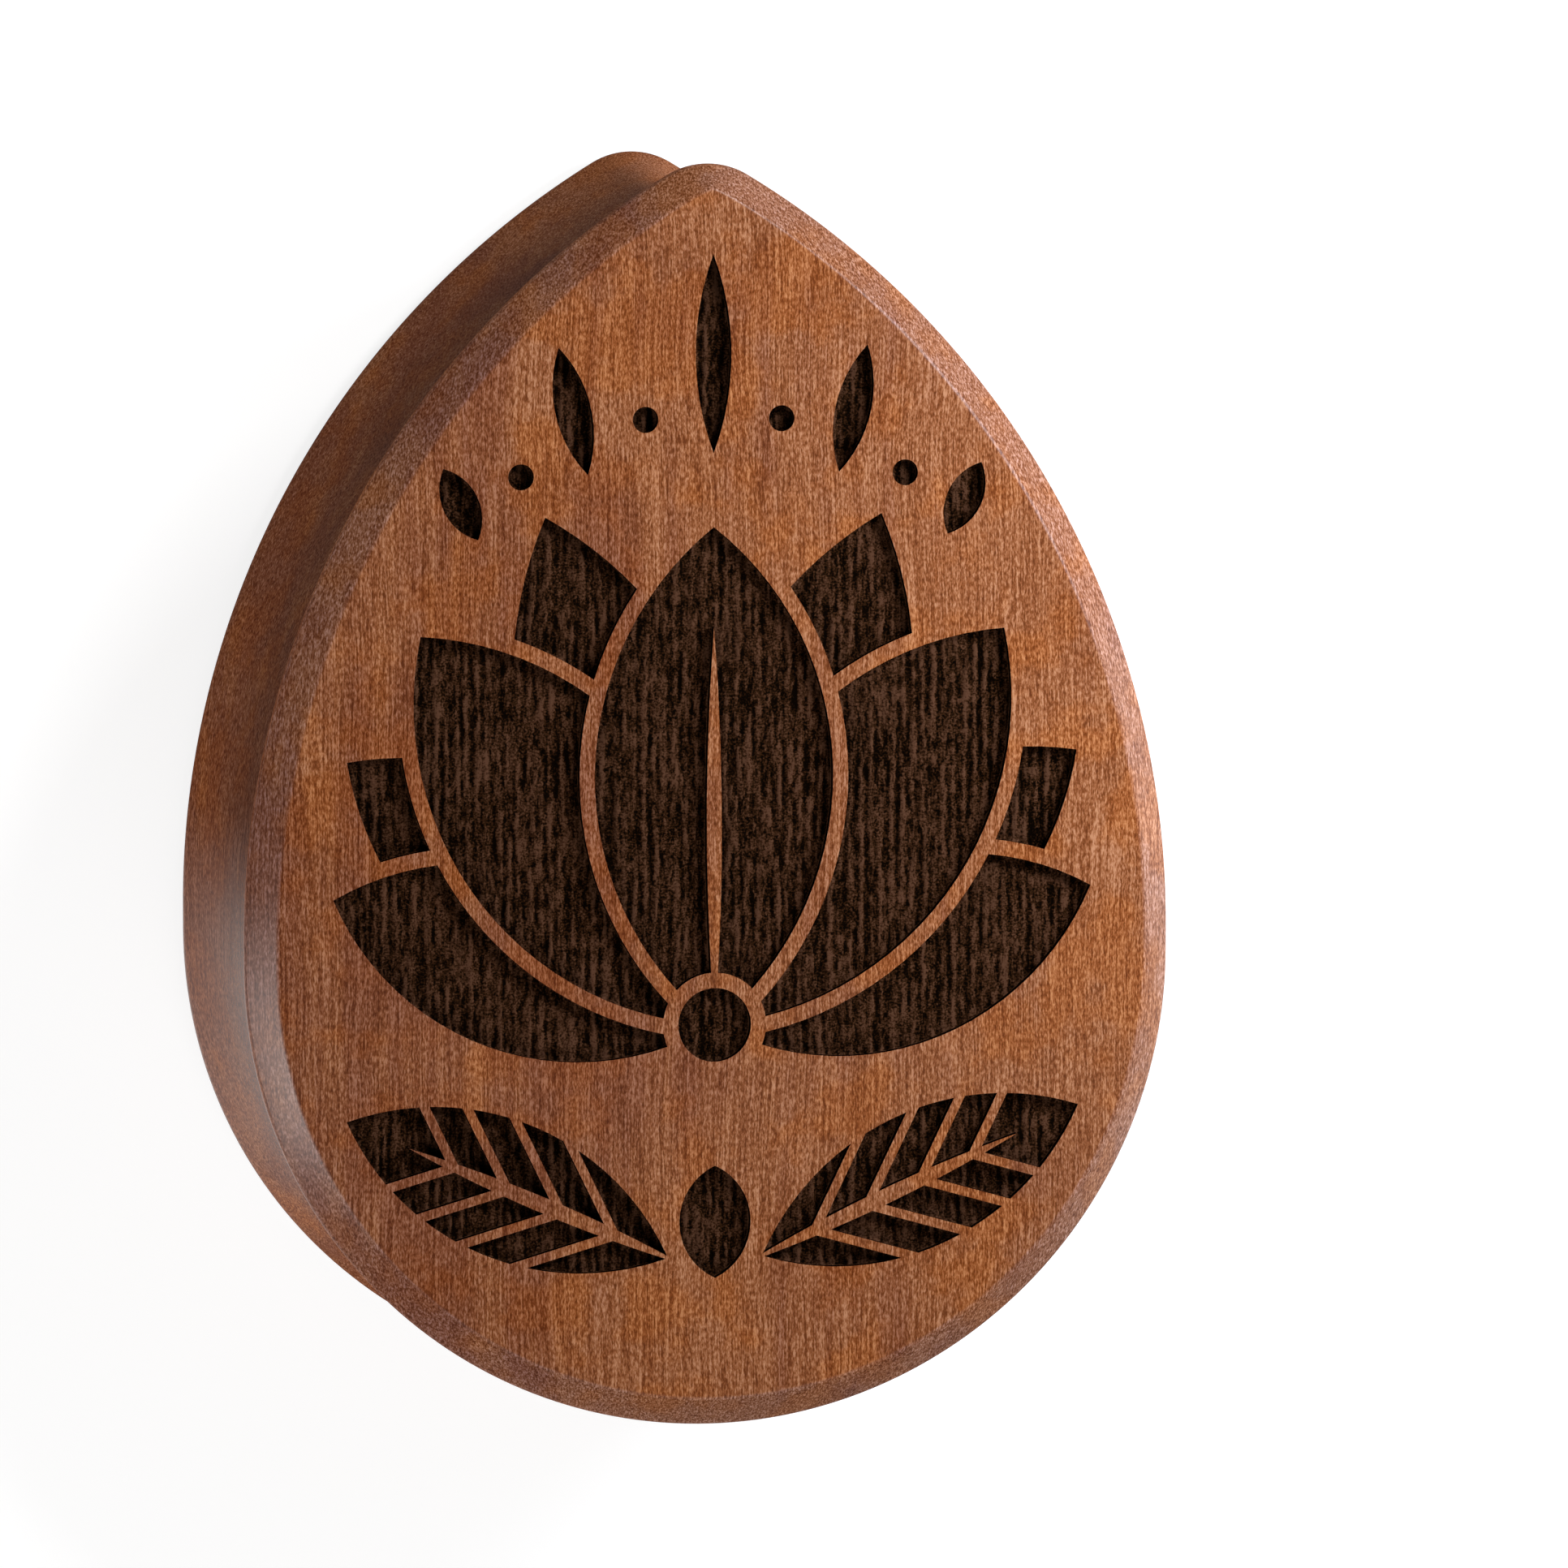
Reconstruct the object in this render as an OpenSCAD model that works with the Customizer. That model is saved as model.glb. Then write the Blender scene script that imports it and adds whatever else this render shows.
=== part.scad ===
// Double-flared teardrop ear plug, cut from one block of wood.
// The plug lies on its back flare. +Z runs from the back face to the engraved face, and +Y to the tip.

/* [Flares] */
// Width of each flare across its widest line
flare_w = 30.5; // [24:0.5:38]
// Height of each flare from the round end to the tip
flare_h = 41; // [36:0.5:50]
// Straight stretch of the rim between the round end and each long side arc
side_straight = 0.75; // [0.25:0.25:3]
// Radius of the tip at the rim of a flare
tip_r = 2.85; // [2:0.05:4]
// Inset of the flat faces from the rims
chamfer_in = 0.95; // [0.4:0.05:1.3]
// Height of the chamfers, measured along the thickness
chamfer_h = 0.85; // [0.4:0.05:1.5]
// Height of the straight land at each rim
rim_land = 0.3; // [0.1:0.05:0.8]

/* [Saddle] */
// Thickness of the plug from its back face to its engraved face
plug_t = 15; // [10:0.5:20]
// Depth of the saddle below the rims, where the ear sits
saddle_d = 1.25; // [0.5:0.05:2]

/* [Engraving] */
// Depth of the engraving
engrave_d = 0.4; // [0.2:0.05:0.8]
// Width of the uncut lines between engraved shapes
line_w = 0.5; // [0.3:0.05:0.8]
// Bare border between the picture and the edge of the face
border_w = 1.2; // [0.8:0.1:2.5]
// Radius of the ring at the root of the flower
root_r = 1.7; // [1.2:0.1:2.4]
// Radius of the dots beside the rays
dot_r = 0.42; // [0.3:0.02:0.7]

/* [Hidden] */
curve_fn = 180;
over = 1; // what a cutting shape runs past the surface it cuts

// The outline is half a circle, two short straight stretches, two long side arcs and a small tip arc.
// Its box is centred on the origin. Lengths that set where arcs meet are kept to whole micrometres.
half_w = flare_w / 2;
round_y = half_w - flare_h / 2;
belly_y = round_y + side_straight;
// The side arcs would touch an arc that is a little tighter than the tip's, so the tip's arc crosses them.
touch_r = tip_r - 0.3;
touch_rise = flare_h / 2 - touch_r - belly_y;
touch_run = half_w - touch_r;
side_x = round(1000 * (touch_rise * touch_rise - touch_run * touch_run) / (2 * touch_run)) / 1000;
side_r = half_w + side_x;
tip_y = flare_h / 2 - tip_r;
// Direction, from the tip arc's centre, in which it runs closest to a side arc
tip_turn = atan2(touch_rise, side_x);

// The saddle is one arc from rim to rim.
saddle_half = plug_t / 2 - chamfer_h - rim_land;
saddle_r = round(1000 * (saddle_half * saddle_half + saddle_d * saddle_d) / (2 * saddle_d)) / 1000;

// The picture fills the face up to its border.
face_h = flare_h - 2 * chamfer_in;
face_w = flare_w - 2 * chamfer_in;
art_h = face_h - 2 * border_w;
art_w = face_w - 2 * border_w;

// Heights of the flower's root and of the leaves' root above the middle of the face, as shares of art_h
root_y = -0.2 * art_h;
leaf_root_y = -0.425 * art_h;

// Petals from front to back: turn from upright, length as a share of art_h, width as a share of art_w
PETAL_TURN = 0;
PETAL_LENGTH = 1;
PETAL_WIDTH = 2;
PETALS = [
    [0, 0.44, 0.3],
    [37, 0.435, 0.28],
    [71, 0.36, 0.225],
    [18.5, 0.475, 0.255],
    [54, 0.405, 0.235]
];
// Share of the front petal's length that its uncut vein takes
vein_share = 0.8;

// Rays above the flower: turn from upright, start and length from the root as shares of art_h
RAY_TURN = 0;
RAY_START = 1;
RAY_LENGTH = 2;
RAYS = [
    [0, 0.505, 0.175],
    [13, 0.5, 0.115],
    [26, 0.48, 0.07]
];
ray_w = 0.045 * art_w;
dot_turn = 6.5;
dot_reach = 0.55 * art_h;

// Leaves below the flower
leaf_turn = 66;
leaf_long = 0.44 * art_w;
leaf_wide = 0.17 * art_w;
rib_share = 0.85; // of the leaf's length, taken by its uncut midrib
vein_count = 4;
vein_turn = 40;
vein_w = 0.6 * line_w;
bud_long = 0.1 * art_h;
bud_wide = 0.09 * art_w;

// Profile of a turned stretch of the plug, from its axis out to a rim of radius r
module profile(r) {
    intersection() {
        difference() {
            polygon([
                [0, 0],
                [r - chamfer_in, 0],
                [r, chamfer_h],
                [r, plug_t - chamfer_h],
                [r - chamfer_in, plug_t],
                [0, plug_t]
            ]);
            translate([r - saddle_d + saddle_r, plug_t / 2])
                circle(saddle_r, $fn = curve_fn);
        }
        square([r, plug_t]);
    }
}

// Half of a round plug, on the +Y side of its axis
module half_turn(r) {
    rotate_extrude(angle = 180, $fn = curve_fn)
        profile(r);
}

// What is cut away round the tip arc
module tip_waste() {
    reach = 2 * flare_w;
    translate([0, tip_y, 0])
        difference() {
            translate([0, 0, -over])
                linear_extrude(plug_t + 2 * over)
                    polygon([
                        [0, 0],
                        [reach * cos(tip_turn), reach * sin(tip_turn)],
                        [-reach * cos(tip_turn), reach * sin(tip_turn)]
                    ]);
            rotate_extrude($fn = curve_fn)
                profile(tip_r);
        }
}

// The plug before it is engraved
module blank() {
    translate([0, round_y, 0])
        mirror([0, 1, 0])
            half_turn(half_w);
    for (side = [0, 1])
        mirror([side, 0, 0])
            translate([0, belly_y, 0])
                rotate([90, 0, 0])
                    linear_extrude(side_straight)
                        profile(half_w);
    difference() {
        translate([0, belly_y, 0])
            intersection() {
                translate([-side_x, 0, 0])
                    half_turn(side_r);
                translate([side_x, 0, 0])
                    half_turn(side_r);
            }
        tip_waste();
    }
}

// Pointed oval from the origin up to [0, long], grown by a margin on all sides
module pointed_oval(long, wide, grow = 0) {
    arc_r = (long * long + wide * wide) / (4 * wide);
    intersection() {
        translate([wide / 2 - arc_r, long / 2])
            circle(arc_r + grow, $fn = curve_fn);
        translate([arc_r - wide / 2, long / 2])
            circle(arc_r + grow, $fn = curve_fn);
    }
}

// Petals of one row, on both sides of the upright one
module petals(row, grow = 0) {
    for (side = row[PETAL_TURN] == 0 ? [1] : [-1, 1])
        rotate(-side * row[PETAL_TURN])
            pointed_oval(row[PETAL_LENGTH] * art_h, row[PETAL_WIDTH] * art_w, grow);
}

// Flower whose rows of petals lie behind each other, parted by uncut lines
module flower() {
    difference() {
        for (i = [0 : len(PETALS) - 1])
            difference() {
                petals(PETALS[i]);
                for (front = [0 : 1 : i - 1])
                    petals(PETALS[front], line_w);
            }
        pointed_oval(vein_share * PETALS[0][PETAL_LENGTH] * art_h, line_w);
        circle(root_r, $fn = curve_fn);
    }
    circle(root_r - line_w, $fn = curve_fn);
}

// Rays and dots that fan out above the flower
module rays() {
    for (row = RAYS, side = row[RAY_TURN] == 0 ? [1] : [-1, 1])
        rotate(-side * row[RAY_TURN])
            translate([0, row[RAY_START] * art_h])
                pointed_oval(row[RAY_LENGTH] * art_h, ray_w);
    for (step = [-3, -1, 1, 3])
        rotate(step * dot_turn)
            translate([0, dot_reach - abs(step) * dot_r])
                circle(dot_r, $fn = curve_fn);
}

// Leaf with an uncut midrib and slanting side veins
module leaf() {
    difference() {
        pointed_oval(leaf_long, leaf_wide);
        translate([0, -line_w])
            pointed_oval(rib_share * leaf_long, line_w);
        for (k = [1 : vein_count], side = [-1, 1])
            translate([0, k * leaf_long / (vein_count + 2)])
                rotate(-side * vein_turn)
                    translate([-vein_w / 2, 0])
                        square([vein_w, leaf_wide]);
    }
}

// Two leaves with a bud between them
module leaves() {
    for (side = [-1, 1])
        rotate(-side * leaf_turn)
            translate([0, root_r])
                leaf();
    pointed_oval(bud_long, bud_wide);
}

// Engraved picture, seen from the front of the plug
module picture() {
    translate([0, root_y]) {
        flower();
        rays();
    }
    translate([0, leaf_root_y])
        leaves();
}

module plug() {
    color([0.6, 0.36, 0.22])
        difference() {
            blank();
            translate([0, 0, plug_t - engrave_d])
                linear_extrude(engrave_d + over)
                    picture();
        }
}

plug();
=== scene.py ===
import math

import bmesh
import bpy
from mathutils import Matrix, Vector, noise


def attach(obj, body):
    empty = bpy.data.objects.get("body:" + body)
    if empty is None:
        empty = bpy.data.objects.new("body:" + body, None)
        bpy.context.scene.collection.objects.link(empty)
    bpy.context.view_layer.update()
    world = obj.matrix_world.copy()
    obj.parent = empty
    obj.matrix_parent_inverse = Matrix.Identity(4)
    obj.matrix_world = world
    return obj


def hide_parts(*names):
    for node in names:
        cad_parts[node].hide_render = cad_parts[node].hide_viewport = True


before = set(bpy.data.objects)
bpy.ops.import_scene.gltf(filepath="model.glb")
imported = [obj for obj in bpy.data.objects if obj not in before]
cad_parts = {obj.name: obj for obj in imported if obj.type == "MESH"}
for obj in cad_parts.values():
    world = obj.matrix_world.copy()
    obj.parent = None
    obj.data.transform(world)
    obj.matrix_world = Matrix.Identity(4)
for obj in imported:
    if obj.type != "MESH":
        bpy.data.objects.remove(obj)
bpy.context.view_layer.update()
mm = 0.001
hair = 0.001 * mm  # what lies closer than this counts as in the same place


# small helpers for shader trees

def addNode(tree, kind, inputs=None, **settings):
    # makes a node, sets its options, then fills or links its inputs by name or number
    node = tree.nodes.new(kind)
    for name, value in settings.items():
        setattr(node, name, value)
    for name, value in (inputs or {}).items():
        if isinstance(value, bpy.types.NodeSocket):
            tree.links.new(value, node.inputs[name])
        else:
            node.inputs[name].default_value = value
    return node


def addRamp(tree, factor, places, colours):
    ramp = addNode(tree, "ShaderNodeValToRGB", {"Fac": factor})
    while len(ramp.color_ramp.elements) < len(places):
        ramp.color_ramp.elements.new(0.5)
    for element, place, colour in zip(ramp.color_ramp.elements, places, colours):
        element.position = place
        element.color = (*colour, 1)
    return ramp.outputs["Color"]


def addMath(tree, operation, a, b=0.0):
    return addNode(tree, "ShaderNodeMath", {0: a, 1: b}, operation=operation).outputs[0]


def addSum(tree, *shares):
    # each share is a value and what it is multiplied by
    total = 0.0
    for value, factor in shares:
        total = addMath(tree, "ADD", total, addMath(tree, "MULTIPLY", value, factor))
    return total


def addRange(tree, value, low, high, to=(0.0, 1.0)):
    # smooth step from one range to another
    node = addNode(tree, "ShaderNodeMapRange",
                   {"Value": value, "From Min": low, "From Max": high, "To Min": to[0], "To Max": to[1]},
                   interpolation_type="SMOOTHSTEP")
    return node.outputs["Result"]


def addMix(tree, factor, a, b, blend="MIX"):
    node = addNode(tree, "ShaderNodeMix", data_type="RGBA", blend_type=blend)
    for socket, value in ((node.inputs[0], factor), (node.inputs[6], a), (node.inputs[7], b)):
        if isinstance(value, bpy.types.NodeSocket):
            tree.links.new(value, socket)
        else:
            socket.default_value = (*value, 1)
    return node.outputs[2]


# the fibres of the grain, shared by the sanded wood and by the burnt floors

grain = {
    "bendScale": 0.11,  # slow bends, to a millimetre
    "bendDetail": 1.0,
    "bendRoughness": 0.4,
    "streakRoughness": 0.6,
}


def makeFibreGroup(look):
    # noise drawn out along the grain, which runs along Y and wanders a little
    group = bpy.data.node_groups.new("fibreStreaks", "ShaderNodeTree")
    group.interface.new_socket("Vector", in_out="INPUT", socket_type="NodeSocketVector")
    for name in ("Across", "Along", "Wander", "Detail"):
        group.interface.new_socket(name, in_out="INPUT", socket_type="NodeSocketFloat")
    group.interface.new_socket("Mask", in_out="OUTPUT", socket_type="NodeSocketFloat")
    start = addNode(group, "NodeGroupInput")
    bend = addNode(group, "ShaderNodeTexNoise", {
        "Vector": start.outputs["Vector"], "Scale": look["bendScale"], "Detail": look["bendDetail"],
        "Roughness": look["bendRoughness"]})
    centred = addNode(group, "ShaderNodeVectorMath", {0: bend.outputs["Color"], 1: (0.5, 0.5, 0.5)},
                      operation="SUBTRACT")
    pushed = addNode(group, "ShaderNodeVectorMath", {0: centred.outputs[0], "Scale": start.outputs["Wander"]},
                     operation="SCALE")
    moved = addNode(group, "ShaderNodeVectorMath", {0: start.outputs["Vector"], 1: pushed.outputs[0]},
                    operation="ADD")
    stretch = addNode(group, "ShaderNodeCombineXYZ", {
        "X": start.outputs["Across"], "Y": start.outputs["Along"], "Z": start.outputs["Across"]})
    fibres = addNode(group, "ShaderNodeVectorMath", {0: moved.outputs[0], 1: stretch.outputs[0]},
                     operation="MULTIPLY")
    streaks = addNode(group, "ShaderNodeTexNoise", {
        "Vector": fibres.outputs[0], "Scale": 1.0, "Detail": start.outputs["Detail"],
        "Roughness": look["streakRoughness"]})
    addNode(group, "NodeGroupOutput", {"Mask": streaks.outputs[0]})
    return group


def addFibres(tree, place, size):
    node = addNode(tree, "ShaderNodeGroup", node_tree=fibreGroup)
    tree.links.new(place, node.inputs["Vector"])
    for name, value in zip(("Across", "Along", "Wander", "Detail"), size):
        node.inputs[name].default_value = value
    return node.outputs["Mask"]


def addPatches(tree, place, scale, detail):
    return addNode(tree, "ShaderNodeTexNoise", {"Vector": place, "Scale": scale, "Detail": detail}).outputs[0]


def startMaterial(name, colour):
    material = bpy.data.materials.new(name)
    material.diffuse_color = (*colour, 1)
    material.use_nodes = True
    tree = material.node_tree
    # object coordinates in whole millimetres
    place = addNode(tree, "ShaderNodeTexCoord").outputs["Object"]
    millimetres = addNode(tree, "ShaderNodeMapping", {"Vector": place, "Scale": (1 / mm, 1 / mm, 1 / mm)})
    return material, tree, tree.nodes["Principled BSDF"], millimetres.outputs["Vector"]


def addRelief(tree, shader, height, look):
    bump = addNode(tree, "ShaderNodeBump", {"Height": height, "Strength": look["reliefStrength"],
                                            "Distance": look["relief"]})
    tree.links.new(bump.outputs["Normal"], shader.inputs["Normal"])


fibreGroup = makeFibreGroup(grain)

plugShape = {
    "flareWidth": 30.5 * mm,
    "flareHeight": 41 * mm,
    "sideStraight": 0.75 * mm,
    "tipRadius": 2.55 * mm,
    "tipCrease": 0.8,  # 0 keeps the face's tip round, 1 brings it to a corner
    "tipSoft": 0.06,  # radians over which that corner stays a little round
    "chamferInset": 0.95 * mm,
    "chamferHeight": 0.85 * mm,
    "rimLand": 0.3 * mm,
    "thickness": 15 * mm,
    "saddleDepth": 1.25 * mm,
    "edgeRound": 0.10 * mm,  # how far each edge is sanded back
    "edgeSteps": 4,
    "sharpAngle": 15,  # edges turned by more than this many degrees are sanded back
    "turnStep": 0.4 * mm,  # spacing of the mesh along the rim
    "leastSteps": 8,  # fewest steps in an arc of the rim, which the tip's small arc has
    "saddleSteps": 26,
    "faceRing": 0.15 * mm,  # width of the ring of faces inside each face's edge
    "shrink": 0.99999,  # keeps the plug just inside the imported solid's box
}

engravingShape = {
    "depth": 0.4 * mm,
    "ridgeHeight": 0.05 * mm,  # how far the burnt floor rises and falls
    "ridgesPerMm": 5.0,
    "ridgeStretch": 0.09,  # how much slower the ridges change along the grain
    "ridgeBend": 0.05,  # how much slower they bend
    "lumpPitch": (1.2, 0.45),  # lumps across and along the grain, for each ridge
    "lumpShare": 0.7,
    "ridgeGain": 1.6,  # above 1 the tops and the hollows are flattened
    "meshAcross": 0.055 * mm,
    "meshAlong": 0.22 * mm,
    "overrun": 0.2 * mm,  # how far the cutter reaches below the floor before the ridges trim it
    "cutterHeight": 1.2 * mm,
    "blockRise": 0.5 * mm,  # how far the block of ridges reaches above the face
    "border": 1.5 * mm,  # how far the block stays inside the rim
    "creaseAngle": 32,  # edges turned by more than this many degrees are shaded crisp
}

# fibres: how many to a millimetre across and along the grain, how far they wander in millimetres, and
# octaves of detail; patches: how many to a millimetre, and octaves of detail
sandedWood = {
    "tones": [(0.085, 0.022, 0.0070), (0.135, 0.039, 0.0120), (0.180, 0.059, 0.0205), (0.235, 0.088, 0.0360),
              (0.340, 0.158, 0.0820)],  # pores, dark, middle and light fibres, flecks
    "toneSteps": [0.375, 0.445, 0.49, 0.54, 0.62],
    "flecks": (20.0, 6.0, 0.5, 2.0),
    "fleckShare": 0.6,
    "lines": (15.0, 0.25, 0.8, 2.0),
    "lineShare": 0.4,
    "bands": (0.7, 0.03, 1.5, 3.0),
    "bandShare": 0.6,
    "patches": (0.14, 3.0),
    "patchShare": 0.4,
    "bandRange": (0.46, 0.64),
    # darkens the grain's random bands, and with them the painted shade towards the left
    "bandAndShadeTint": (0.74, 0.68, 0.76),
    "paintedLeftShade": 0.007,  # painted shade: how much darker the wood is painted towards the left, where less light falls, for each millimetre
    "amberPatches": (0.5, 4.0),
    "amberRange": (0.45, 0.62),
    "amberTint": (1.06, 0.94, 0.72),
    "bevelSheenTint": (1.09, 1.27, 1.78),  # painted sheen: the bevels are painted greyer and paler, as if they reflected a cool light
    "flankPaintedLight": (1.28, 1.28, 1.34),  # painted light: the sides are painted lighter towards the rims
    "saddlePaintedShade": (0.72, 0.69, 0.68),  # painted shade: the middle of the saddle's hollow is painted darker, where shade falls
    "saddleRange": (1.0, 6.0),  # in mm from the middle of the thickness
    "roughness": 0.45,
    "facePolish": 0.25,
    "bevelPolish": 0.2,
    "rubbedPolish": (0.75, 0.05),  # where the plug is rubbed most, and the least that it has elsewhere
    "rubbedPlace": -9.0,  # in mm along Y from the middle, so towards the round end
    "rubbedRange": (2.0, 8.5),  # in mm from that place, where the polish starts and ends to fade
    "polishRoughness": 0.27,
    "bevelBlend": (0.05, 0.02, 0.002),  # in mm: below the bevels, and where the rounded edge meets the face
    "relief": 0.012 * mm,
    "reliefStrength": 0.5,
}


def makeSandedWood(look):
    material, tree, shader, place = startMaterial("sandedWood", look["tones"][2])
    parts = addNode(tree, "ShaderNodeSeparateXYZ", {0: place})
    tone = addSum(tree, (addFibres(tree, place, look["flecks"]), look["fleckShare"]),
                  (addFibres(tree, place, look["lines"]), look["lineShare"]))
    # random bands and patches of the grain, plus painted shade that darkens the wood towards the left
    bandsAndLeftShade = addSum(tree, (addFibres(tree, place, look["bands"]), look["bandShare"]),
                      (addPatches(tree, place, *look["patches"]), look["patchShare"]),
                      (parts.outputs["X"], -look["paintedLeftShade"]))
    warmth = addPatches(tree, place, *look["amberPatches"])
    colour = addRamp(tree, tone, look["toneSteps"], look["tones"])
    colour = addMix(tree, addRange(tree, bandsAndLeftShade, *look["bandRange"]), colour, look["bandAndShadeTint"], "MULTIPLY")
    colour = addMix(tree, addRange(tree, warmth, *look["amberRange"]), colour, look["amberTint"], "MULTIPLY")

    # how far the surface lies from the middle of the thickness tells sides, bevels and faces apart
    half = plugShape["thickness"] / 2 / mm
    rim = half - plugShape["chamferHeight"] / mm
    belowRim, belowFace, nearFace = look["bevelBlend"]
    level = addMath(tree, "ABSOLUTE", addMath(tree, "SUBTRACT", parts.outputs["Z"], half))
    offSide = addRange(tree, level, rim - belowRim, rim)
    onFace = addRange(tree, level, half - belowFace, half - nearFace)
    onBevel = addMath(tree, "SUBTRACT", offSide, onFace)
    # painted sheen: the bevels are tinted greyer and paler
    colour = addMix(tree, onBevel, colour, look["bevelSheenTint"], "MULTIPLY")
    # painted shade in the middle of the saddle's hollow, giving way to painted light towards the rims, on the
    # sides only
    onFlank = addRange(tree, level, *look["saddleRange"])
    paintedSideShading = addMix(tree, onFlank, look["saddlePaintedShade"], look["flankPaintedLight"])
    colour = addMix(tree, addMath(tree, "SUBTRACT", 1.0, offSide), colour, paintedSideShading, "MULTIPLY")
    tree.links.new(colour, shader.inputs["Base Color"])

    fromRubbed = addMath(tree, "ABSOLUTE", addMath(tree, "SUBTRACT", parts.outputs["Y"], look["rubbedPlace"]))
    rubbed = addRange(tree, fromRubbed, *look["rubbedRange"], look["rubbedPolish"])
    polish = addSum(tree, (onBevel, look["bevelPolish"]), (onFace, look["facePolish"]))
    tree.links.new(addMath(tree, "MAXIMUM", polish, rubbed), shader.inputs["Coat Weight"])
    addRelief(tree, shader, tone, look)
    shader.inputs["Roughness"].default_value = look["roughness"]
    shader.inputs["Specular IOR Level"].default_value = 0.0
    shader.inputs["Coat Roughness"].default_value = look["polishRoughness"]
    return material


burntEngraving = {
    "tones": [(0.0020, 0.0010, 0.0005), (0.021, 0.0080, 0.0030), (0.064, 0.0280, 0.0150)],  # char, brown, ash
    "toneSteps": [0.42, 0.51, 0.63],
    "ridges": (8.0, 2.0, 0.5, 2.0),
    "ridgeShare": 0.45,
    "lumps": (14.0, 15.0, 0.3, 2.0),
    "lumpShare": 0.55,
    "rowScale": 0.92,  # rows about a third of a millimetre apart
    "rowStretch": 0.12,
    "rowWander": 2.5,
    "rowDetail": (2.0, 1.5),  # octaves of the wander, and the scale of the finer ones
    "rowShare": 0.08,
    "ridgeTop": 0.06,  # how much lighter the tops of the modelled ridges are
    "wallChar": (1.3, 2.2),  # where the wall's char starts and is full, in ridge heights above the floor
    "roughness": 0.8,
    "relief": 0.04 * mm,
    "reliefStrength": 0.7,
}


def makeBurntEngraving(look):
    # char in the hollows and on the walls, brown on the tops of the ridges
    material, tree, shader, place = startMaterial("burntEngraving", look["tones"][1])
    slow = addNode(tree, "ShaderNodeVectorMath", {0: place, 1: (1, look["rowStretch"], 1)},
                   operation="MULTIPLY")
    detail, detailScale = look["rowDetail"]
    rows = addNode(tree, "ShaderNodeTexWave", {
        "Vector": slow.outputs[0], "Scale": look["rowScale"], "Distortion": look["rowWander"],
        "Detail": detail, "Detail Scale": detailScale}, wave_type="BANDS", bands_direction="X").outputs["Fac"]
    height = addSum(tree, (addFibres(tree, place, look["ridges"]), look["ridgeShare"]),
                    (addFibres(tree, place, look["lumps"]), look["lumpShare"]),
                    (addMath(tree, "SUBTRACT", rows, 0.5), look["rowShare"]))
    level = addNode(tree, "ShaderNodeSeparateXYZ", {0: place}).outputs["Z"]
    floorLevel = (plugShape["thickness"] - engravingShape["depth"]) / mm
    swing = engravingShape["ridgeHeight"] / mm
    raised = addRange(tree, level, floorLevel - swing, floorLevel + swing,
                      (-look["ridgeTop"], look["ridgeTop"]))
    wall = addRange(tree, level, *[floorLevel + swing * part for part in look["wallChar"]])
    colour = addRamp(tree, addMath(tree, "ADD", height, raised), look["toneSteps"], look["tones"])
    colour = addMix(tree, wall, colour, look["tones"][0])
    tree.links.new(colour, shader.inputs["Base Color"])
    addRelief(tree, shader, height, look)
    shader.inputs["Roughness"].default_value = look["roughness"]
    shader.inputs["Specular IOR Level"].default_value = 0.0
    return material


woodFinish = makeSandedWood(sandedWood)
burntFinish = makeBurntEngraving(burntEngraving)
print("materials made")


# the plug

def addObject(bm, name, material):
    mesh = bpy.data.meshes.new(name)
    bm.to_mesh(mesh)
    bm.free()
    mesh.materials.append(material)
    made = bpy.data.objects.new(name, mesh)
    bpy.context.scene.collection.objects.link(made)
    return made


def sideArc(shape):
    # how far each side arc's centre lies beyond the middle line, and how far the tip's centre lies above it
    halfWidth = shape["flareWidth"] / 2
    rise = shape["flareHeight"] - shape["tipRadius"] - halfWidth - shape["sideStraight"]
    run = halfWidth - shape["tipRadius"]
    return (rise ** 2 - run ** 2) / (2 * run), rise


def tipTurn(shape):
    # direction, from the tip's centre, in which the tip's arc meets a side arc
    sideX, rise = sideArc(shape)
    return math.atan2(rise, sideX)


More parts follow.
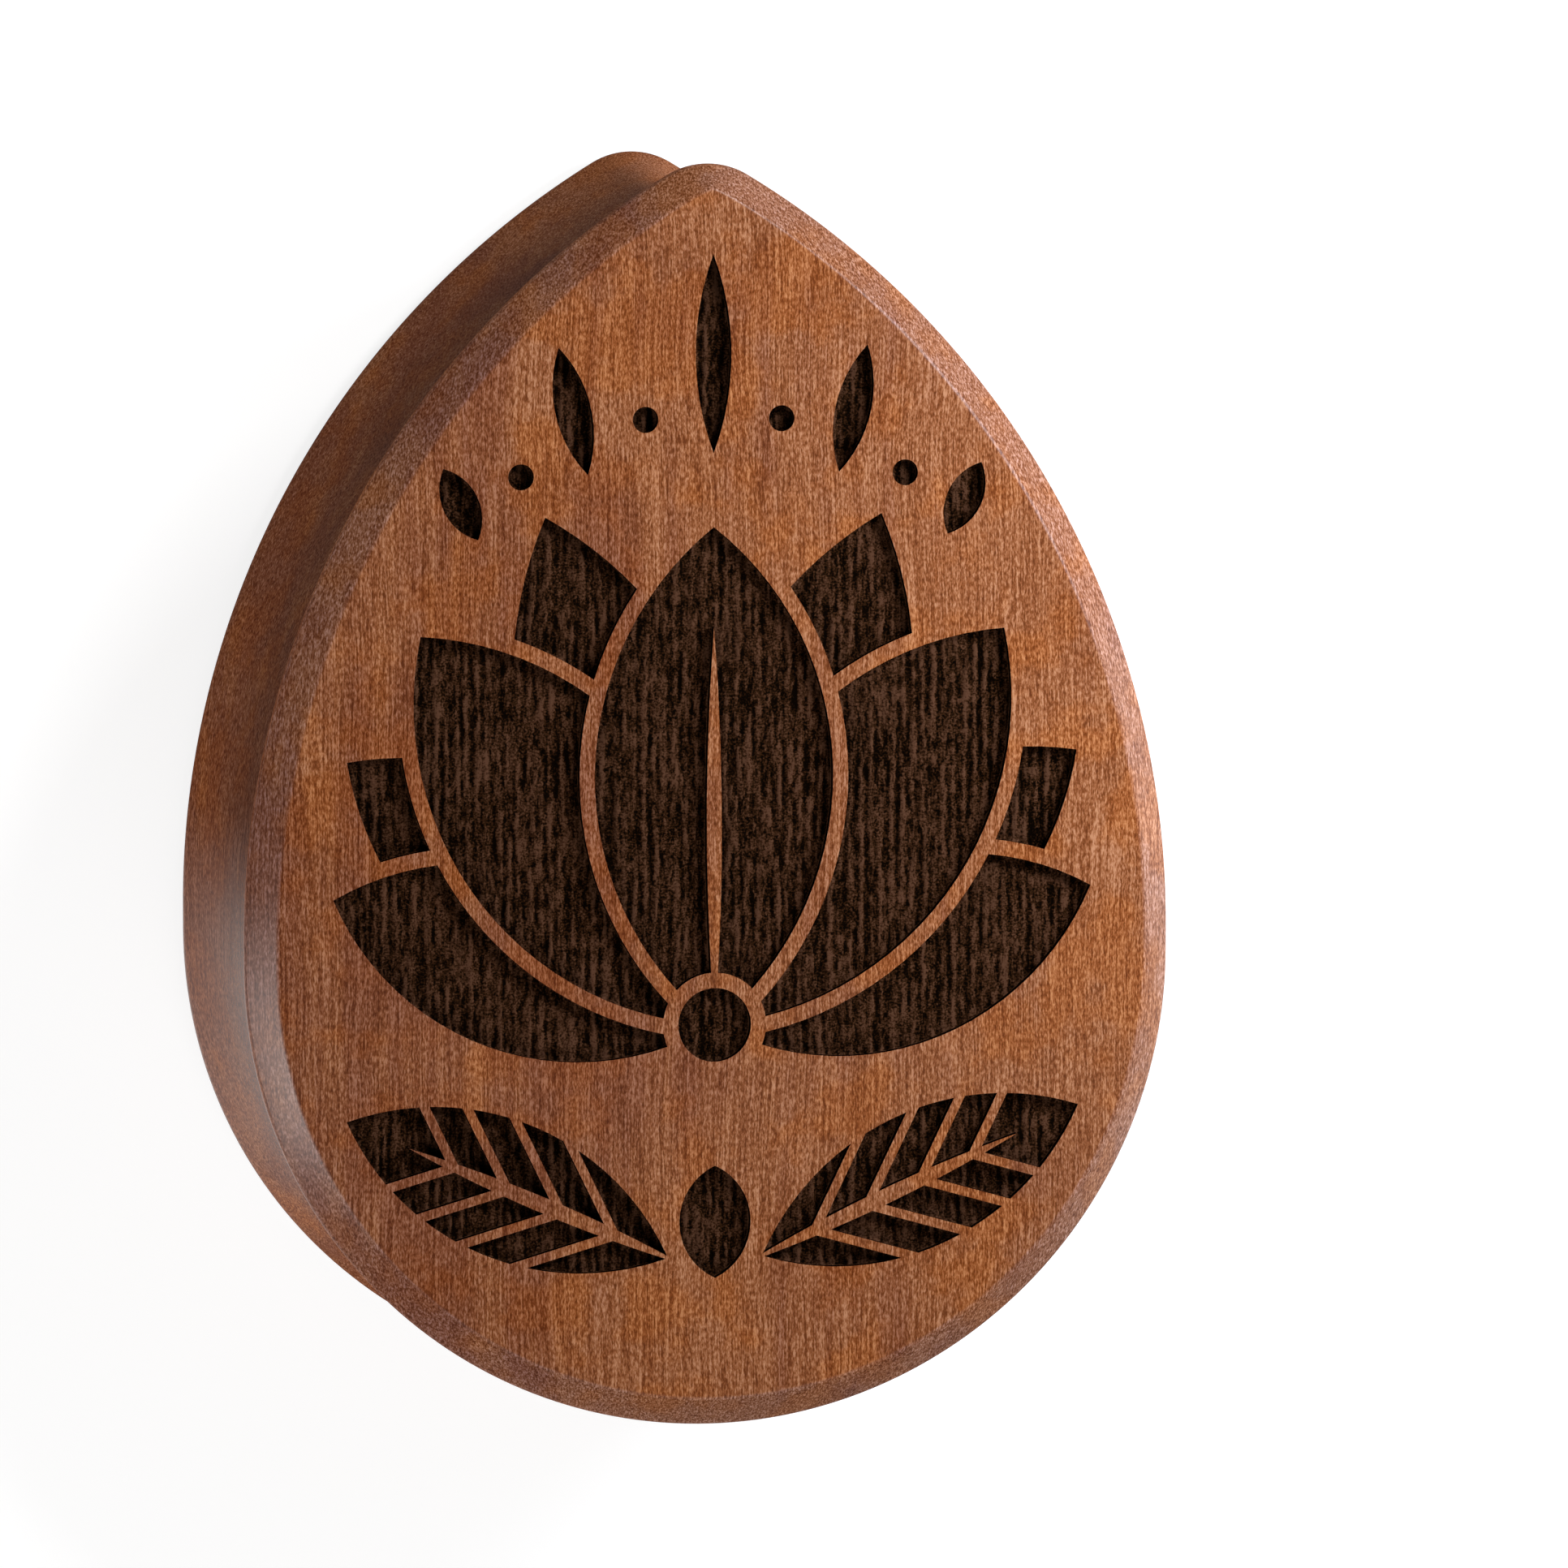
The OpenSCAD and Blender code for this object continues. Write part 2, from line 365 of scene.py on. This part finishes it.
def makeBlank(shape):
    halfWidth = shape["flareWidth"] / 2
    tipY = shape["flareHeight"] / 2 - shape["tipRadius"]
    roundY = halfWidth - shape["flareHeight"] / 2
    bellyY = roundY + shape["sideStraight"]
    sideX = sideArc(shape)[0]
    meet = tipTurn(shape)

    # profile of the rim and the saddle at the tip, from the engraved face's edge down to the back face's
    thick, rimY = shape["thickness"], shape["flareHeight"] / 2
    landTop = thick - shape["chamferHeight"] - shape["rimLand"]
    half = landTop - thick / 2
    saddleRadius = (half ** 2 + shape["saddleDepth"] ** 2) / (2 * shape["saddleDepth"])
    bm = bmesh.new()
    faceTop = bm.verts.new((0, rimY - shape["chamferInset"], thick))
    rimTop = bm.verts.new((0, rimY, thick - shape["chamferHeight"]))
    saddleTop = bm.verts.new((0, rimY, landTop))
    bm.edges.new((faceTop, rimTop))
    bm.edges.new((rimTop, saddleTop))
    saddle = bmesh.ops.spin(bm, geom=[saddleTop], axis=(1, 0, 0), angle=2 * math.asin(half / saddleRadius),
                            steps=shape["saddleSteps"],
                            cent=(0, rimY - shape["saddleDepth"] + saddleRadius, thick / 2))
    saddleEnd = [v for v in saddle["geom_last"] if isinstance(v, bmesh.types.BMVert)][0]
    rimBack = bm.verts.new((0, rimY, shape["chamferHeight"]))
    faceBack = bm.verts.new((0, rimY - shape["chamferInset"], 0))
    bm.edges.new((saddleEnd, rimBack))
    bm.edges.new((rimBack, faceBack))

    # turned round the tip and the side, drawn straight down, then turned round the end
    ring = bm.verts[:] + bm.edges[:]
    for centre, turn, radius in (((0, tipY), meet - math.pi / 2, shape["tipRadius"]),
                                 ((-sideX, bellyY), -meet, halfWidth + sideX)):
        steps = max(shape["leastSteps"], round(abs(turn) * radius / shape["turnStep"]))
        turned = bmesh.ops.spin(bm, geom=ring, cent=(*centre, 0), axis=(0, 0, 1), angle=turn, steps=steps)
        ring = turned["geom_last"]
    edges = [e for e in ring if isinstance(e, bmesh.types.BMEdge)]
    straight = bmesh.ops.extrude_edge_only(bm, edges=edges)["geom"]
    bmesh.ops.translate(bm, verts=[v for v in straight if isinstance(v, bmesh.types.BMVert)],
                        vec=(0, -shape["sideStraight"], 0))
    ring = [g for g in straight if not isinstance(g, bmesh.types.BMFace)]
    steps = round(math.pi / 2 * halfWidth / shape["turnStep"])
    bmesh.ops.spin(bm, geom=ring, cent=(0, roundY, 0), axis=(0, 0, 1), angle=-math.pi / 2, steps=steps)

    # the other half, then the two flat faces
    bmesh.ops.mirror(bm, geom=bm.verts[:] + bm.edges[:] + bm.faces[:], axis="X", merge_dist=2 * hair)
    bmesh.ops.remove_doubles(bm, verts=bm.verts, dist=2 * hair)
    bmesh.ops.holes_fill(bm, edges=[e for e in bm.edges if e.is_boundary], sides=0)
    bmesh.ops.scale(bm, verts=bm.verts, vec=(shape["shrink"], shape["shrink"], 1))
    bmesh.ops.recalc_face_normals(bm, faces=bm.faces)
    return bm


def creaseTip(bm, shape):
    # the face's edge comes to a sharper point than the rim, so the bevel narrows there
    tipY = shape["flareHeight"] / 2 - shape["tipRadius"]
    inner = shape["tipRadius"] - shape["chamferInset"]
    reach = math.pi / 2 - tipTurn(shape)
    for v in bm.verts:
        out = v.co.xy - Vector((0, tipY))
        onFace = min(abs(v.co.z), abs(v.co.z - shape["thickness"])) < hair
        lean = abs(math.atan2(out.x, out.y))
        if onFace and lean < reach and abs(out.length - inner) < 5 * hair:
            corner = 1 / math.cos(reach - math.hypot(lean, shape["tipSoft"])) - 1
            v.co.xy = v.co.xy + out * corner * shape["tipCrease"]


def roundEdges(bm, shape):
    # the rims and the edges of the two faces are sanded round
    sharp = [e for e in bm.edges if e.calc_face_angle() > math.radians(shape["sharpAngle"])]
    bmesh.ops.bevel(bm, geom=sharp, offset=shape["edgeRound"], offset_type="OFFSET", affect="EDGES",
                    segments=shape["edgeSteps"], profile=0.5, material=-1, clamp_overlap=True)


def makePlug(shape):
    bm = makeBlank(shape)
    creaseTip(bm, shape)
    roundEdges(bm, shape)
    flats = [f for f in bm.faces if len(f.verts) > 20]  # only the two flat faces have so many corners
    bmesh.ops.inset_individual(bm, faces=flats, thickness=shape["faceRing"])
    bmesh.ops.recalc_face_normals(bm, faces=bm.faces)
    for f in bm.faces:
        f.smooth = True
    return addObject(bm, "engravedPlug", woodFinish)


# the engraving

def makeCutter(node, shape):
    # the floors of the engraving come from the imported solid, drawn past the face and past the floor
    bm = bmesh.new()
    bm.from_mesh(node.data)
    bmesh.ops.remove_doubles(bm, verts=bm.verts, dist=hair)
    bm.normal_update()
    floorLevel = max(v.co.z for v in bm.verts) - shape["depth"]
    upright, near = 0.99, 0.1 * mm
    floors = [f for f in bm.faces
              if f.normal.z > upright and abs(f.calc_center_median().z - floorLevel) < near]
    bmesh.ops.delete(bm, geom=[f for f in bm.faces if f not in set(floors)], context="FACES")
    bmesh.ops.translate(bm, verts=bm.verts, vec=(0, 0, -shape["overrun"]))
    raised = bmesh.ops.extrude_face_region(bm, geom=bm.faces[:], use_keep_orig=True)["geom"]
    bmesh.ops.translate(bm, verts=[g for g in raised if isinstance(g, bmesh.types.BMVert)],
                        vec=(0, 0, shape["cutterHeight"]))
    bmesh.ops.recalc_face_normals(bm, faces=bm.faces)
    return addObject(bm, "cutter", burntFinish)


def makeRidgedBlock(shape, plug):
    # a block whose underside is the burnt floor: ridges along the grain, broken into lumps
    bm = bmesh.new()
    width = plug["flareWidth"] - 2 * shape["border"]
    height = plug["flareHeight"] - 2 * shape["border"]
    top = plug["thickness"]
    pitch = shape["ridgesPerMm"] / mm
    lumpAcross, lumpAlong = shape["lumpPitch"]
    bmesh.ops.create_grid(bm, x_segments=round(width / shape["meshAcross"]),
                          y_segments=round(height / shape["meshAlong"]), size=0.5)
    bmesh.ops.scale(bm, verts=bm.verts, vec=(width, height, 1))
    for v in bm.verts:
        # the last number of each place picks another layer of the noise
        x, y = v.co.x * pitch, v.co.y * pitch
        bend = noise.noise((x * shape["ridgeBend"], y * shape["ridgeBend"], 3))
        ridge = noise.noise((x + bend, y * shape["ridgeStretch"], 0))
        lump = noise.noise((x * lumpAcross + bend, y * lumpAlong, 7))
        swell = (ridge + shape["lumpShare"] * lump) * shape["ridgeGain"]
        v.co.z = top - shape["depth"] + shape["ridgeHeight"] * max(-1, min(1, swell))
    walls = bmesh.ops.extrude_edge_only(bm, edges=[e for e in bm.edges if e.is_boundary])["geom"]
    for v in walls:
        if isinstance(v, bmesh.types.BMVert):
            v.co.z = top + shape["blockRise"]
    bmesh.ops.holes_fill(bm, edges=[e for e in bm.edges if e.is_boundary], sides=0)
    bmesh.ops.recalc_face_normals(bm, faces=bm.faces)
    return addObject(bm, "ridgedBlock", burntFinish)


def applyBoolean(body, tool, operation):
    cut = body.modifiers.new(operation, "BOOLEAN")
    cut.operation = operation
    cut.solver = "MANIFOLD"
    cut.material_mode = "TRANSFER"
    cut.object = tool
    bpy.context.view_layer.update()
    seen = body.evaluated_get(bpy.context.evaluated_depsgraph_get())
    mesh = bpy.data.meshes.new_from_object(seen)
    body.modifiers.clear()
    body.data = mesh
    bpy.data.objects.remove(tool)
    return mesh


def setShading(mesh, shape, top):
    # smooth curves and ridges, crisp edges, and flat faces except for the ring that meets the rounded edge
    mesh.set_sharp_from_angle(angle=math.radians(shape["creaseAngle"]))
    bm = bmesh.new()
    bm.from_mesh(mesh)
    # how upright a normal is: more than flat on the flat faces, more than edge where they start to turn
    # over, and less than wall on the walls
    flat, edge, wall = 0.99999, 0.5, 0.2
    limit = top - shape["depth"] + shape["ridgeHeight"] * 1.05  # just above the highest ridge
    for e in bm.edges:
        onFloor = all(top - 2 * shape["depth"] < v.co.z < limit for v in e.verts)
        if onFloor and all(f.normal.z > wall for f in e.link_faces):
            e.smooth = True
    for f in bm.faces:
        middle = f.calc_center_median().z
        if abs(f.normal.z) > flat and not hair < middle < top - hair:
            f.smooth = any(edge < abs(g.normal.z) < flat for v in f.verts for g in v.link_faces)
    bm.to_mesh(mesh)
    bm.free()


plug = makePlug(plugShape)
cutter = makeCutter(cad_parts["plug"], engravingShape)
applyBoolean(cutter, makeRidgedBlock(engravingShape, plugShape), "INTERSECT")
setShading(applyBoolean(plug, cutter, "DIFFERENCE"), engravingShape, plugShape["thickness"])
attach(plug, "root")
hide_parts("plug")
print("plug engraved,", len(plug.data.polygons), "faces, materials", [m.name for m in plug.data.materials])


# floor, lights and camera

studio = {
    "floorSize": 3.0,
    "floorColour": (0.35, 0.347, 0.344),
    "floorRoughness": 0.9,
    "floorShine": 0.1,
    "floorGlow": 0.76,
    "glowColour": (1, 1, 1),
    "skyColour": (1, 1, 1),
    "skyStrength": 0.01,
    "middle": (0, 0, 0.01),  # what the lights are aimed at
    # degrees round from +X, degrees up from the level, distance and size in metres, power in watts, colour
    "lights": [
        ("keyLight", 50, 46, 0.30, 0.06, 0.43, (1, 1, 1)),
        ("frontFill", 275, 40, 0.35, 0.30, 0.55, (1, 1, 1)),
        ("leftFill", 200, 20, 0.35, 0.20, 0.56, (1, 1, 1)),
        ("raisedFill", 215, 35, 0.35, 0.20, 0.28, (1, 1, 1)),
        ("rightLight", 30, 36, 0.065, 0.03, 0.060, (0.92, 1, 1.14)),
        ("edgeLight", 4, 6, 0.036, 0.016, 0.0040, (0.9, 1, 1.1)),  # low and close, for the right bevel
    ],
}

cameraView = {
    "lens": 257.1,
    "sensor": 36,  # millimetres, as the lens
    "clip": (0.02, 10),  # metres
    "place": (-70.7 * mm, 32.05 * mm, 368.6 * mm),
    "turn": (-4.99, -11.67, -0.06),  # degrees
}


def makeFloor(look):
    material, tree, shader = startMaterial("paleFloor", look["floorColour"])[:3]
    shader.inputs["Base Color"].default_value = (*look["floorColour"], 1)
    shader.inputs["Roughness"].default_value = look["floorRoughness"]
    shader.inputs["Specular IOR Level"].default_value = look["floorShine"]
    # the glow makes the floor pale to the eye and in the gloss, but doesn't light the groove from below
    rays = addNode(tree, "ShaderNodeLightPath").outputs
    seen = addMath(tree, "MAXIMUM", rays["Is Camera Ray"], rays["Is Glossy Ray"])
    shader.inputs["Emission Color"].default_value = (*look["glowColour"], 1)
    tree.links.new(addMath(tree, "MULTIPLY", seen, look["floorGlow"]), shader.inputs["Emission Strength"])
    bm = bmesh.new()
    bmesh.ops.create_grid(bm, x_segments=1, y_segments=1, size=look["floorSize"] / 2)
    addObject(bm, "floor", material)


def addSoftbox(middle, name, around, up, distance, size, power, colour):
    # square light that the camera doesn't see, turned towards the plug
    light = bpy.data.lights.new(name, "AREA")
    light.shape = "SQUARE"
    light.size = size
    light.energy = power
    light.color = colour
    box = bpy.data.objects.new(name, light)
    turn = Matrix.Rotation(math.radians(around), 4, "Z") @ Matrix.Rotation(-math.radians(up), 4, "Y")
    box.location = Vector(middle) + turn @ Vector((distance, 0, 0))
    box.rotation_euler = (Vector(middle) - box.location).to_track_quat("-Z", "Y").to_euler()
    box.visible_camera = False
    bpy.context.scene.collection.objects.link(box)


def lightScene(look):
    world = bpy.data.worlds.new("softStudio")
    world.use_nodes = True
    background = world.node_tree.nodes["Background"]
    background.inputs["Color"].default_value = (*look["skyColour"], 1)
    background.inputs["Strength"].default_value = look["skyStrength"]
    bpy.context.scene.world = world
    for light in look["lights"]:
        addSoftbox(look["middle"], *light)


def addCamera(look):
    # the plug lies flat, so the camera looks down on it, from a little to the left and towards the tip
    camera = bpy.data.cameras.new("camera")
    camera.sensor_width = look["sensor"]
    camera.lens = look["lens"]
    camera.clip_start, camera.clip_end = look["clip"]
    seat = bpy.data.objects.new("camera", camera)
    seat.location = look["place"]
    seat.rotation_euler = [math.radians(a) for a in look["turn"]]
    bpy.context.scene.collection.objects.link(seat)
    bpy.context.scene.camera = seat


makeFloor(studio)
lightScene(studio)
addCamera(cameraView)
bpy.context.scene.view_settings.view_transform = "Standard"
print("studio made")
